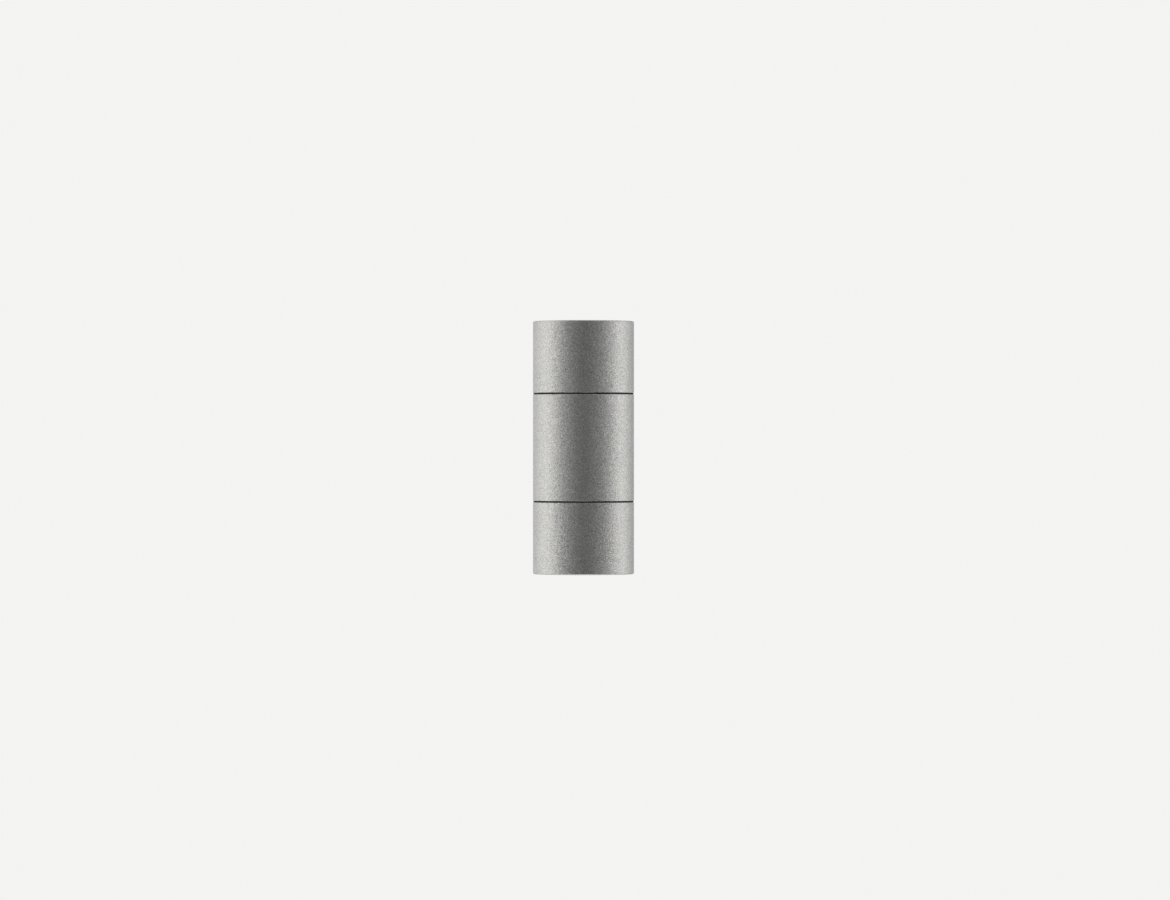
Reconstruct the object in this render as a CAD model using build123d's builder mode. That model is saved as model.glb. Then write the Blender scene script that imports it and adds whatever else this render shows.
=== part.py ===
"""Up-and-down tube wall light: a round aluminium tube in three sections, held off the wall by a hidden box.

The two end sections are heads that unscrew to change the lamps. Inside the centre section two lampholders
stand back to back on a pair of angle brackets. The box behind it holds the terminal block, and slips over
the ears of a wall plate.

Everything is drawn in millimetres about the tube's own centre: X across, +Y towards the wall, +Z up. What
belongs to one end is drawn for the upper end and turned half a turn about Y for the lower one. On writing,
the model moves so that its origin is the middle of the wall plate's back face.
"""

import os
from math import pi, radians, sqrt, tan

from build123d import *

# ---- Driving dimensions, millimetres -------------------------------------------------------------------

# Reflector lamp with a twist-lock pin base
lamp_diameter = 50.0
lamp_length = 46.0  # front rim to the shoulder of the base
lamp_rim_height = 3.5
lamp_rim_wall = 0.9
lamp_rim_step = 0.8  # from the rim's outside in to the back of the bowl
base_diameter = 25.5
base_height = 11.0
base_edge = 1.2
neck_diameter = 17.0
neck_depth = 5.0
neck_clearance = 0.1
burner_diameter = 8.6
burner_tail_diameter = 6.0
burner_clearance = 0.9
burner_tip_gap = 9.0  # lamp rim to the burner's tip
reflector_depth = 21.5  # mouth to the vertex of the parabola
cover_thickness = 1.5
cover_clearance = 0.1
cover_recess = 0.5
cover_seat_width = 1.0
pin_spacing = 10.0
pin_diameter = 3.0
pin_length = 7.2
pin_head_diameter = 4.8
pin_head_height = 2.6
pin_twist = 30.0  # degrees from locked to free

# Head: the end section of the tube, with the front glass in a pocket at its mouth
head_wall = 2.5
ledge_width = 2.1
ledge_thickness = 1.6
lamp_side_gap = 0.4  # lamp to the bore of the ledge
lamp_front_gap = 1.8  # lamp to the underside of the ledge
glass_thickness = 3.0
glass_bevel = 0.4
glass_seal_wall = 0.7
glass_seal_lip = 0.8
glass_seal_grip = 1.6  # how far the lips reach over the glass
glass_seal_clearance = 0.05
pocket_clearance = 0.1
ring_recess = 3.0  # rim to the retaining ring
ring_thickness = 2.0
ring_width = 2.1
ring_edge = 0.3
ring_notches = 4
ring_notch_width = 3.0
ring_notch_depth = 0.9
edge_chamfer = 0.5  # at the two open rims

# Seams, and the threaded spigots behind them
centre_height = 64.0  # from the middle of one seam to the middle of the other
seam_gap = 0.85
seam_chamfer = 0.25  # on both sides of each seam
seam_lip_wall = 0.85
joint_seal_width = 0.7
joint_seal_height = 1.5
joint_seal_clearance = 0.15
joint_seal_round = 0.15
joint_seal_recess = 0.3  # tube's outer face to the foot
seal_to_thread = 0.3
spigot_length = 10.0
spigot_wall = 1.4
spigot_lead_in = 0.6
thread_depth = 0.6
thread_pitch = 2.0
thread_base_width = 1.3
thread_crest_width = 0.4
thread_clearance = 0.15
thread_relief = 1.9  # shoulder to the start of the thread
thread_run_out = 1.0  # end of the thread to the end of the spigot
thread_bite = 0.15  # how far a ridge is sunk into the wall that it grows from

# Lampholder
holder_diameter = 30.0
holder_height = 14.2
holder_edge = 1.0
holder_to_lamp = 0.3
pin_clearance = 0.2
pin_head_clearance = 0.4
pin_hook_gap = 0.4  # pin head to the plate that it hooks under
contact_thickness = 0.5
contact_width = 4.6
contact_gap = 0.5  # contact to the end of the pin
holder_screw_offset = 11.0
holder_screw_diameter = 3.0
holder_screw_head_diameter = 5.4
holder_screw_head_height = 2.0
holder_screw_clearance = 0.15
lead_port_height = 3.1  # above the holder's foot
lead_port_clearance = 0.3
lead_port_depth = 8.0
lead_to_port_end = 1.0

# Angle brackets that carry the lampholders
bracket_thickness = 1.5
bracket_width = 28.0
bracket_reach = 14.0  # from the tube's axis towards the room
bracket_leg_width = 16.0
bracket_leg_margin = 5.0  # beyond the middle of the saddle screw
bracket_corner = 3.0
bracket_seat_clearance = 0.05
window_width = 20.0
window_depth = 5.0
window_to_leg = 1.7

# Box behind the tube
tube_to_wall = 22.0
box_width = 46.0
box_to_seam = 1.575
box_corner = 6.0
box_wall = 2.0
saddle_wall = 2.7
saddle_seal_thickness = 0.6
saddle_seal_margin = 1.0
box_seal_thickness = 1.5
boss_diameter = 9.0
boss_height = 6.7  # off the back of the saddle

# Screws through the brackets, the tube and the saddle
saddle_screw_inset = 5.0  # from the ends of the box
saddle_screw_diameter = 4.0
saddle_screw_length = 14.0
saddle_screw_head_diameter = 7.6
saddle_screw_head_height = 2.6
screw_clearance = 0.2
tapped_clearance = 0.05
screw_slot_width = 0.9
screw_slot_depth = 1.0
screw_head_round = 0.7

# Wall plate
plate_thickness = 1.5
plate_clearance = 0.5  # all round, inside the box
plate_corner = 3.5
cable_hole_diameter = 14.0
wall_slot_margin = 2.5  # end of a slot to the end of the plate
wall_slot_width = 4.5
wall_slot_length = 8.0
ear_height = 16.0
ear_length = 11.5
ear_round = 3.0
ear_slot_clearance = 0.25
lock_screw_to_wall = 7.2
lock_screw_diameter = 4.0
lock_screw_length = 8.5
lock_screw_head_diameter = 7.0
lock_screw_head_height = 2.4
lock_nut_across_flats = 7.0
lock_nut_thickness = 3.2
lock_nut_gap = 0.1

# Cable bush
grommet_to_boss = 0.7  # flange to the boss above it
grommet_neck_diameter = 10.0
grommet_wall = 1.3
grommet_flange_width = 1.8
grommet_flange_thickness = 1.3
grommet_clearance = 0.05
grommet_nose = 0.75  # proud of the tube's bore
bracket_grommet_clearance = 0.6

# Terminal block
pole_count = 3
pole_spacing = 9.0
pole_wall = 0.45
pole_round = 1.2
block_top = 0.0  # height of its upper end
block_length = 16.0  # along Z
block_height = 12.0  # off its pad
block_web = 2.5
block_web_margin = 0.6
block_pad_height = 1.2
block_pad_margin = 2.0
insert_diameter = 4.8
insert_wall = 0.65
insert_inset = 1.0
insert_height = 5.7  # its axis above the pad
insert_clearance = 0.05
clamp_screw_diameter = 2.8
clamp_screw_offset = 4.0  # from the block's middle
clamp_screw_length = 3.4
clamp_screw_sink = 1.3  # below the top of its pole
clamp_slot_width = 0.45
fixing_screw_diameter = 2.2
fixing_screw_head_diameter = 3.8
fixing_screw_head_height = 1.4
fixing_screw_length = 5.0
fixing_scallop_clearance = 0.15

# Leads and earth
lead_diameter = 1.6
lead_spread = 1.84  # of the leads about the bush's axis, across and up
lead_pair_spread = 0.85  # of two leads in one terminal
lead_in_terminal = 3.0
lead_bend_share = 0.45  # of the shorter run, taken up by each bend
earth_drop = 13.0  # of the earth screw below the middle
earth_screw_diameter = 4.0
earth_screw_head_diameter = 7.0
earth_screw_head_height = 2.2
earth_tag_width = 2.0  # of the eye, round the screw
earth_tag_thickness = 0.8
earth_barrel_diameter = 2.8
earth_barrel_start = 4.5  # above the middle of the eye
earth_barrel_length = 3.5
earth_tongue_overlap = 1.0  # of the tag's tongue and its barrel

# ---- Levels and radii that follow from them ------------------------------------------------------------

# Outwards from the lamp
lamp_radius = lamp_diameter / 2
cover_radius = lamp_radius - lamp_rim_wall - cover_clearance
mouth_radius = cover_radius - cover_seat_width
ledge_bore_radius = lamp_radius + lamp_side_gap
pocket_radius = ledge_bore_radius + ledge_width
tube_radius = pocket_radius + head_wall

# Inwards from the tube's outer face
fitting_radius = pocket_radius - pocket_clearance
glass_groove_radius = fitting_radius - glass_seal_wall
glass_radius = glass_groove_radius - glass_seal_clearance
rebate_radius = tube_radius - seam_lip_wall
seal_radius = rebate_radius - joint_seal_clearance
seal_foot_radius = tube_radius - joint_seal_recess
seal_bore_radius = seal_radius - joint_seal_width
crest_radius = seal_bore_radius - seal_to_thread
root_radius = crest_radius - thread_depth
head_bore_radius = root_radius + thread_clearance
bore_radius = root_radius - spigot_wall

# Upwards from the middle of the tube
holder_foot_z = bracket_thickness
holder_top_z = holder_foot_z + holder_height
lamp_base_z = holder_top_z + holder_to_lamp
pin_end_z = lamp_base_z - pin_length
pin_head_top_z = pin_end_z + pin_head_height
contact_z = pin_end_z - contact_gap - contact_thickness
base_top_z = lamp_base_z + base_height
neck_floor_z = base_top_z - neck_depth
lamp_front_z = lamp_base_z + lamp_length
cover_seat_z = lamp_front_z - cover_recess - cover_thickness
vertex_z = cover_seat_z - reflector_depth
ledge_bottom_z = lamp_front_z + lamp_front_gap
ledge_top_z = ledge_bottom_z + ledge_thickness
glass_bottom_z = ledge_top_z + glass_seal_lip
glass_top_z = glass_bottom_z + glass_thickness
glass_seal_top_z = glass_top_z + glass_seal_lip
rim_z = glass_seal_top_z + ring_thickness + ring_recess

shoulder_z = (centre_height - seam_gap) / 2  # end faces of the centre section
seam_z = (centre_height + seam_gap) / 2  # inner end faces of the heads
rebate_z = shoulder_z + joint_seal_height
spigot_z = shoulder_z + spigot_length
thread_start_z = shoulder_z + thread_relief
thread_end_z = spigot_z - thread_run_out

# Towards the wall
leg_back_y = sqrt(bore_radius**2 - (bracket_leg_width / 2) ** 2) - bracket_seat_clearance
leg_front_y = leg_back_y - bracket_thickness
window_back_y = leg_front_y - window_to_leg
window_y = window_back_y - window_depth / 2
saddle_radius = tube_radius + saddle_seal_thickness
saddle_back_radius = saddle_radius + saddle_wall
boss_y = saddle_back_radius + boss_height
axis_to_wall = tube_radius + tube_to_wall
box_back_y = axis_to_wall - box_seal_thickness
lock_y = axis_to_wall - lock_screw_to_wall
block_seat_y = saddle_back_radius + block_pad_height
block_back_y = block_seat_y + block_height
insert_y = block_seat_y + insert_height

# Box, plate and terminals
box_height = 2 * (shoulder_z - box_to_seam)
saddle_screw_z = box_height / 2 - saddle_screw_inset
bracket_leg_height = saddle_screw_z + bracket_leg_margin
grommet_flange_radius = grommet_neck_diameter / 2 + grommet_flange_width
boss_bottom_z = saddle_screw_z - boss_diameter / 2
grommet_height = boss_bottom_z - grommet_to_boss - grommet_flange_radius
plate_width = box_width - 2 * box_wall - 2 * plate_clearance
plate_height = box_height - 2 * box_wall - 2 * plate_clearance
wall_slot_spacing = plate_height - 2 * wall_slot_margin - wall_slot_length
block_z = block_top - block_length / 2
pole_width = insert_diameter + 2 * insert_clearance + 2 * pole_wall
pole_xs = [pole_spacing * (i - (pole_count - 1) / 2) for i in range(pole_count)]
block_width = pole_spacing * (pole_count - 1) + pole_width + 2 * block_web_margin

# Where like things repeat
saddle_screw_places = [(0, saddle_screw_z), (0, -saddle_screw_z)]
holder_screw_places = [(0, holder_screw_offset), (0, -holder_screw_offset)]
pin_places = [(pin_spacing / 2, 0), (-pin_spacing / 2, 0)]

# The upper end is drawn as it stands, and the lower one is the same thing turned about Y
ends = {
    "upper": Location((0, 0, 0)),
    "lower": Location((0, 0, 0), (0, 180, 0)),
}
to_wall_frame = Location((0, -axis_to_wall, 0))

# ---- Helpers -------------------------------------------------------------------------------------------


def facing_room(y):
    """A plane at that depth, with X across, Z up and its normal pointing into the room."""
    return Plane.XZ.offset(-y)


def write(shape, label):
    """Moves a finished piece into the wall's frame and writes it under its name."""
    placed = shape.moved(to_wall_frame)
    placed.label = label
    export_step(placed, f"parts/{label}.step")


def write_both_ends(shape, label):
    """Writes a piece for the upper and the lower end."""
    for end, place in ends.items():
        write(shape.moved(place), f"{end}_{label}")


def thread_outline(start_z, foot_radius, tip_radius, extra):
    """Cross-section of the thread, widened by extra on each side for the groove that takes it."""
    half_foot = thread_base_width / 2 + extra
    half_tip = thread_crest_width / 2 + extra
    with BuildLine() as outline:
        Polyline(
            (foot_radius, start_z - half_foot),
            (tip_radius, start_z - half_tip),
            (tip_radius, start_z + half_tip),
            (foot_radius, start_z + half_foot),
            close=True,
        )
    return outline.line


def slotted_screw(plane, diameter, length, head_diameter, head_height):
    """A pan-head screw. The plane lies under its head, and its normal points out of the head."""
    with BuildPart() as screw:
        with BuildSketch(plane):
            Circle(diameter / 2)
        extrude(amount=-length)
        with BuildSketch(plane):
            Circle(head_diameter / 2)
        extrude(amount=head_height)
        head_top = screw.faces().sort_by(Axis(plane.origin, plane.z_dir))[-1]
        fillet(head_top.edges(), screw_head_round)
        with BuildSketch(plane.offset(head_height)):
            Rectangle(2 * head_diameter, screw_slot_width)
        extrude(amount=-screw_slot_depth, mode=Mode.SUBTRACT)
    return screw.part


def lead(*points):
    """One insulated lead: straight runs joined by bends as large as the runs allow."""
    corners = [Vector(p) for p in points]
    runs = [b - a for a, b in zip(corners, corners[1:])]
    bends = []
    for before, after in zip(runs, runs[1:]):
        turn = radians(before.get_angle(after))
        bends.append(lead_bend_share * min(before.length, after.length) / tan(turn / 2))
    with BuildPart() as wire:
        with BuildLine() as route:
            FilletPolyline(*corners, radius=bends)
        with BuildSketch(Plane(origin=corners[0], z_dir=runs[0])):
            Circle(lead_diameter / 2)
        sweep(path=route.line)
    route_length = sum(edge.length for edge in route.edges())
    section_times_length = pi * (lead_diameter / 2) ** 2 * route_length
    print("lead bends, mm:", [round(bend, 1) for bend in bends])
    print("volume over section times length:", round(wire.part.volume / section_times_length, 4))
    return wire.part


# ---- Centre section ------------------------------------------------------------------------------------


def make_centre_tube():
    """The middle of the tube, with a threaded spigot at each end and its back drilled for the box."""
    with BuildPart() as spigot:
        with BuildSketch(Plane.XY.offset(shoulder_z)):
            Circle(root_radius)
            Circle(bore_radius, mode=Mode.SUBTRACT)
        extrude(amount=spigot_length)
        end_edges = spigot.edges().group_by(Axis.Z)[-1]
        chamfer(end_edges.sort_by(SortBy.RADIUS)[-1], spigot_lead_in)
        with BuildLine() as helix:
            Helix(thread_pitch, thread_end_z - thread_start_z, root_radius, (0, 0, thread_start_z))
        with BuildSketch(Plane.XZ):
            add(thread_outline(thread_start_z, root_radius - thread_bite, crest_radius, 0))
            make_face()
        sweep(path=helix.line, is_frenet=True)

    with BuildPart() as tube:
        with BuildSketch(Plane.XY.offset(-shoulder_z)):
            Circle(tube_radius)
        extrude(amount=2 * shoulder_z)
        chamfer(tube.edges().filter_by(GeomType.CIRCLE), seam_chamfer)
        with BuildSketch(Plane.XY.offset(-shoulder_z)):
            Circle(bore_radius)
        extrude(amount=2 * shoulder_z, mode=Mode.SUBTRACT)
        with Locations(*ends.values()):
            add(spigot.part)
        with BuildSketch(facing_room(saddle_back_radius)):
            with Locations(*saddle_screw_places):
                Circle(saddle_screw_diameter / 2 + screw_clearance)
            with Locations((0, grommet_height)):
                Circle(grommet_neck_diameter / 2 + grommet_clearance)
        extrude(amount=saddle_back_radius, mode=Mode.SUBTRACT)
    write(tube.part, "centre_tube")


def make_joint_seals():
    """A ring of rubber in each seam. Its foot fills the gap and ends just behind the tube's outer face."""
    with BuildPart() as seal:
        with BuildSketch(Plane.XY.offset(shoulder_z)):
            Circle(seal_foot_radius)
            Circle(seal_bore_radius, mode=Mode.SUBTRACT)
        extrude(amount=seam_gap)
        with BuildSketch(Plane.XY.offset(shoulder_z)):
            Circle(seal_radius)
            Circle(seal_bore_radius, mode=Mode.SUBTRACT)
        extrude(amount=joint_seal_height)
        bottom, step, top = seal.edges().filter_by(GeomType.CIRCLE).group_by(Axis.Z)
        fillet([*bottom, step.sort_by(SortBy.RADIUS)[-1], *top], joint_seal_round)
    write_both_ends(seal.part, "joint_seal")


# ---- Heads ---------------------------------------------------------------------------------------------


def make_heads():
    """The end sections: a sleeve threaded on to the spigot, with a pocket for the glass in its mouth."""
    with BuildPart() as head:
        with BuildSketch(Plane.XY.offset(seam_z)):
            Circle(tube_radius)
        extrude(amount=rim_z - seam_z)
        chamfer(head.edges().group_by(Axis.Z)[0], seam_chamfer)
        with BuildSketch(Plane.XY.offset(seam_z)):
            Circle(rebate_radius)
        extrude(amount=rebate_z - seam_z, mode=Mode.SUBTRACT)
        with BuildSketch(Plane.XY.offset(seam_z)):
            Circle(head_bore_radius)
        extrude(amount=ledge_bottom_z - seam_z, mode=Mode.SUBTRACT)
        with BuildSketch(Plane.XY.offset(ledge_bottom_z)):
            Circle(ledge_bore_radius)
        extrude(amount=ledge_thickness, mode=Mode.SUBTRACT)
        with BuildSketch(Plane.XY.offset(ledge_top_z)):
            Circle(pocket_radius)
        extrude(amount=rim_z - ledge_top_z, mode=Mode.SUBTRACT)
        chamfer(head.edges().group_by(Axis.Z)[-1], edge_chamfer)

        # The groove starts one turn below the spigot's thread, out through the head's open end
        groove_start_z = thread_start_z - thread_pitch
        groove_height = thread_end_z + thread_run_out - groove_start_z
        groove_extra = thread_clearance + thread_bite / 2
        with BuildLine() as helix:
            Helix(thread_pitch, groove_height, root_radius, (0, 0, groove_start_z))
        with BuildSketch(Plane.XZ):
            add(
                thread_outline(
                    groove_start_z,
                    root_radius - thread_bite,
                    crest_radius + thread_clearance,
                    groove_extra,
                )
            )
            make_face()
        sweep(path=helix.line, is_frenet=True, mode=Mode.SUBTRACT)
    write_both_ends(head.part, "head")


def make_head_fittings():
    """What sits in a head's pocket: the glass, the rubber channel round it and the ring on top."""
    with BuildPart() as glass:
        with BuildSketch(Plane.XY.offset(glass_bottom_z)):
            Circle(glass_radius)
        extrude(amount=glass_thickness)
        chamfer(glass.edges().filter_by(GeomType.CIRCLE), glass_bevel)
    write_both_ends(glass.part, "glass")

    lip_radius = glass_radius - glass_seal_grip
    with BuildPart() as glass_seal:
        with BuildSketch(Plane.XZ):
            with BuildLine():
                Polyline(
                    (lip_radius, ledge_top_z),
                    (fitting_radius, ledge_top_z),
                    (fitting_radius, glass_seal_top_z),
                    (lip_radius, glass_seal_top_z),
                    (lip_radius, glass_top_z),
                    (glass_groove_radius, glass_top_z),
                    (glass_groove_radius, glass_bottom_z),
                    (lip_radius, glass_bottom_z),
                    close=True,
                )
            make_face()
        revolve(axis=Axis.Z)
    write_both_ends(glass_seal.part, "glass_seal")

    ring_bore_radius = fitting_radius - ring_width
    with BuildPart() as ring:
        with BuildSketch(Plane.XY.offset(glass_seal_top_z)):
            Circle(fitting_radius)
            Circle(ring_bore_radius, mode=Mode.SUBTRACT)
            with PolarLocations(ring_bore_radius, ring_notches, start_angle=180 / ring_notches):
                Rectangle(2 * ring_notch_depth, ring_notch_width, mode=Mode.SUBTRACT)
        extrude(amount=ring_thickness)
        chamfer(ring.edges().group_by(Axis.Z)[-1].filter_by(GeomType.CIRCLE), ring_edge)
    write_both_ends(ring.part, "retaining_ring")


# ---- Lamps ---------------------------------------------------------------------------------------------


def bowl_z(radius):
    """Height of the reflector's bowl at that radius: a parabola."""
    return vertex_z + reflector_depth * (radius / mouth_radius) ** 2


def evenly(first, last):
    """Five values from first to last, at even steps."""
    return [first + (last - first) * share for share in (0, 0.25, 0.5, 0.75, 1)]


def make_lamps():
    """Reflector lamps: a ceramic pin base, a bowl, a burner and a front cover."""
    neck_radius = neck_diameter / 2
    base_radius = base_diameter / 2
    with BuildPart() as base:
        with BuildSketch(Plane.XY.offset(lamp_base_z)):
            Circle(base_radius)
        extrude(amount=base_height)
        chamfer(base.edges().filter_by(GeomType.CIRCLE), base_edge)
        with BuildSketch(Plane.XY.offset(base_top_z)):
            Circle(neck_radius + neck_clearance)
        extrude(amount=-neck_depth, mode=Mode.SUBTRACT)
    write_both_ends(base.part, "lamp_base")

    with BuildPart() as pins:
        with BuildSketch(Plane.XY.offset(lamp_base_z)):
            with Locations(*pin_places):
                Circle(pin_diameter / 2)
        extrude(amount=-pin_length)
        with BuildSketch(Plane.XY.offset(pin_end_z)):
            with Locations(*pin_places):
                Circle(pin_head_diameter / 2)
        extrude(amount=pin_head_height)
    write_both_ends(pins.part, "lamp_pins")

    hole_radius = burner_diameter / 2 + burner_clearance
    rim_radius = lamp_radius - lamp_rim_wall
    back_radius = lamp_radius - lamp_rim_step
    rim_foot_z = lamp_front_z - lamp_rim_height
    back_depth = bowl_z(back_radius) - rim_foot_z
    bowl_radii = evenly(mouth_radius, hole_radius)
    back_radii = evenly(neck_radius, back_radius)
    with BuildPart() as reflector:
        with BuildSketch(Plane.XZ):
            with BuildLine():
                Spline(*[(r, bowl_z(r)) for r in bowl_radii])
                Polyline(
                    (hole_radius, bowl_z(hole_radius)),
                    (hole_radius, neck_floor_z),
                    (neck_radius, neck_floor_z),
                    (neck_radius, bowl_z(neck_radius) - back_depth),
                )
                Spline(*[(r, bowl_z(r) - back_depth) for r in back_radii])
                Polyline(
                    (back_radius, rim_foot_z),
                    (lamp_radius, rim_foot_z),
                    (lamp_radius, lamp_front_z),
                    (rim_radius, lamp_front_z),
                    (rim_radius, cover_seat_z),
                    (mouth_radius, cover_seat_z),
                )
            make_face()
        revolve(axis=Axis.Z)
    write_both_ends(reflector.part, "lamp_reflector")

    with BuildPart() as cover:
        with BuildSketch(Plane.XY.offset(cover_seat_z)):
            Circle(cover_radius)
        extrude(amount=cover_thickness)
    write_both_ends(cover.part, "lamp_cover")

    tip_z = lamp_front_z - burner_tip_gap
    tip_radius = burner_diameter / 2
    tail_radius = burner_tail_diameter / 2
    with BuildPart() as burner:
        with BuildSketch(Plane.XZ):
            with BuildLine():
                Polyline(
                    (0, tip_z),
                    (0, neck_floor_z),
                    (tail_radius, neck_floor_z),
                    (tail_radius, vertex_z),
                    (tip_radius, vertex_z + tail_radius),
                    (tip_radius, tip_z - tip_radius),
                )
                CenterArc((0, tip_z - tip_radius), tip_radius, 0, 90)
            make_face()
        revolve(axis=Axis.Z)
    write_both_ends(burner.part, "lamp_burner")


# ---- Lampholders and the brackets that carry them ------------------------------------------------------


def twist_tracks(width):
    """The two arcs that the lamp's pins sweep as they twist, as a sketch of that width."""
    with BuildSketch() as tracks:
        for start in (0, 180):
            SlotArc(CenterArc((0, 0), pin_spacing / 2, start, pin_twist), width)
    return tracks.sketch


def make_lampholders():
    """Ceramic holders with a keyhole track for each pin, their contacts and their screws."""
    track_width = pin_diameter + 2 * pin_clearance
    cavity_width = pin_head_diameter + 2 * pin_head_clearance
    head_seat_z = holder_top_z - holder_screw_head_height - holder_screw_clearance
    port_z = holder_foot_z + lead_port_height
    with BuildPart() as holder:
        with BuildSketch(Plane.XY.offset(holder_foot_z)):
            Circle(holder_diameter / 2)
        extrude(amount=holder_height)
        chamfer(holder.edges().group_by(Axis.Z)[-1], holder_edge)
        with BuildSketch(Plane.XY.offset(contact_z)):
            add(twist_tracks(cavity_width))
        extrude(amount=pin_head_top_z + pin_hook_gap - contact_z, mode=Mode.SUBTRACT)
        with BuildSketch(Plane.XY.offset(contact_z)):
            add(twist_tracks(track_width))
            with PolarLocations(pin_spacing / 2, len(pin_places), start_angle=pin_twist):
                Circle(cavity_width / 2)
        extrude(amount=holder_top_z - contact_z, mode=Mode.SUBTRACT)
        with Locations(*[(x, y, holder_top_z) for x, y in holder_screw_places]):
            CounterBoreHole(
                holder_screw_diameter / 2 + holder_screw_clearance,
                holder_screw_head_diameter / 2 + holder_screw_clearance,
                holder_top_z - head_seat_z,
                holder_height,
            )
        with BuildSketch(facing_room(holder_diameter / 2)):
            with Locations(*[(x, port_z) for x, _ in pin_places]):
                Circle(lead_diameter / 2 + lead_port_clearance)
        extrude(amount=lead_port_depth, mode=Mode.SUBTRACT)
    write_both_ends(holder.part, "lampholder")

    with BuildPart() as contacts:
        with BuildSketch(Plane.XY.offset(contact_z)):
            add(twist_tracks(contact_width))
        extrude(amount=contact_thickness)
    write_both_ends(contacts.part, "lampholder_contacts")

    with BuildPart() as screws:
        for x, y in holder_screw_places:
            add(
                slotted_screw(
                    Plane((x, y, head_seat_z)),
                    holder_screw_diameter,
                    head_seat_z,
                    holder_screw_head_diameter,
                    holder_screw_head_height,
                )
            )
    write_both_ends(screws.part, "lampholder_screws")


def lamp_bracket(leg_hole_height, leg_hole_diameter):
    """A steel angle: its shelf carries a lampholder and its leg is clamped to the back of the tube."""
    shelf_depth = bracket_reach + leg_back_y
    with BuildPart() as bracket:
        with BuildSketch(Plane.XY):
            with Locations((0, leg_back_y - shelf_depth / 2)):
                RectangleRounded(bracket_width, shelf_depth, bracket_corner)
            with Locations((0, leg_back_y - bracket_corner / 2)):
                Rectangle(bracket_leg_width, bracket_corner)
            Circle(bore_radius - bracket_seat_clearance, mode=Mode.INTERSECT)
            with Locations((0, window_y)):
                Rectangle(window_width, window_depth, mode=Mode.SUBTRACT)
            with Locations(*holder_screw_places):
                Circle(holder_screw_diameter / 2 + tapped_clearance, mode=Mode.SUBTRACT)
        extrude(amount=bracket_thickness)
        with BuildSketch(Plane.XZ.offset(-leg_back_y)):
            with Locations((0, bracket_leg_height / 2)):
                Rectangle(bracket_leg_width, bracket_leg_height)
        extrude(amount=bracket_thickness)
        leg_tips = bracket.edges().filter_by(Axis.Y).group_by(Axis.Z)[-1]
        fillet(leg_tips, bracket_corner)
        with BuildSketch(Plane.XZ.offset(-leg_back_y)):
            with Locations((0, saddle_screw_z)):
                Circle(saddle_screw_diameter / 2 + screw_clearance)
            with Locations((0, leg_hole_height)):
                Circle(leg_hole_diameter / 2)
        extrude(amount=bracket_thickness, mode=Mode.SUBTRACT)
    return bracket.part


def make_brackets():
    """The upper bracket lets the grommet through, and the lower one takes the earth screw."""
    grommet_hole = grommet_neck_diameter + 2 * bracket_grommet_clearance
    upper = lamp_bracket(grommet_height, grommet_hole)
    lower = lamp_bracket(earth_drop, earth_screw_diameter + 2 * tapped_clearance)
    write(upper.moved(ends["upper"]), "upper_lamp_bracket")
    write(lower.moved(ends["lower"]), "lower_lamp_bracket")


def make_saddle_screws():
    """The screws that clamp the brackets, the tube and the box together."""
    with BuildPart() as screws:
        for x, z in saddle_screw_places:
            add(
                slotted_screw(
                    Plane((x, leg_front_y, z), x_dir=(1, 0, 0), z_dir=(0, -1, 0)),
                    saddle_screw_diameter,
                    saddle_screw_length,
                    saddle_screw_head_diameter,
                    saddle_screw_head_height,
                )
            )
    write(screws.part, "saddle_screws")


# ---- Box, wall plate and what holds them together ------------------------------------------------------


def make_wall_box():
    """The cast box: open at the back, with a saddle for the tube, two bosses and a terminal pad."""
    with BuildPart() as box:
        with BuildSketch(facing_room(saddle_back_radius)):
            RectangleRounded(box_width, box_height, box_corner)
        extrude(amount=saddle_back_radius)
        with BuildSketch(Plane.XY.offset(-box_height / 2)):
            Circle(saddle_back_radius)
        extrude(amount=box_height, mode=Mode.INTERSECT)
        with BuildSketch(facing_room(box_back_y)):
            RectangleRounded(box_width, box_height, box_corner)
            RectangleRounded(
                box_width - 2 * box_wall,
                box_height - 2 * box_wall,
                box_corner - box_wall,
                mode=Mode.SUBTRACT,
            )
        extrude(amount=box_back_y)
        with BuildSketch(facing_room(boss_y)):
            with Locations(*saddle_screw_places):
                Circle(boss_diameter / 2)
        extrude(amount=boss_y - tube_radius)
        with BuildSketch(facing_room(block_seat_y)):
            with Locations((0, block_z)):
                Rectangle(
                    block_width - 2 * block_pad_margin,
                    block_length - 2 * block_pad_margin,
                )
        extrude(amount=block_seat_y - tube_radius)
        with BuildSketch(Plane.XY.offset(-box_height / 2)):
            Circle(saddle_radius)
        extrude(amount=box_height, mode=Mode.SUBTRACT)
        with BuildSketch(facing_room(boss_y)):
            with Locations(*saddle_screw_places):
                Circle(saddle_screw_diameter / 2 + tapped_clearance)
            with Locations((0, grommet_height)):
                Circle(grommet_neck_diameter / 2 + grommet_clearance)
        extrude(amount=boss_y, mode=Mode.SUBTRACT)
        with BuildSketch(facing_room(block_seat_y)):
            with Locations(*fixing_places()):
                Circle(fixing_screw_diameter / 2 + tapped_clearance)
        extrude(amount=fixing_screw_length - block_web + tapped_clearance, mode=Mode.SUBTRACT)
        with BuildSketch(Plane.YZ.offset(-box_width / 2)):
            with Locations((lock_y, 0)):
                Circle(lock_screw_diameter / 2 + screw_clearance)
        extrude(amount=box_width, mode=Mode.SUBTRACT)
    write(box.part, "wall_box")


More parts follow.
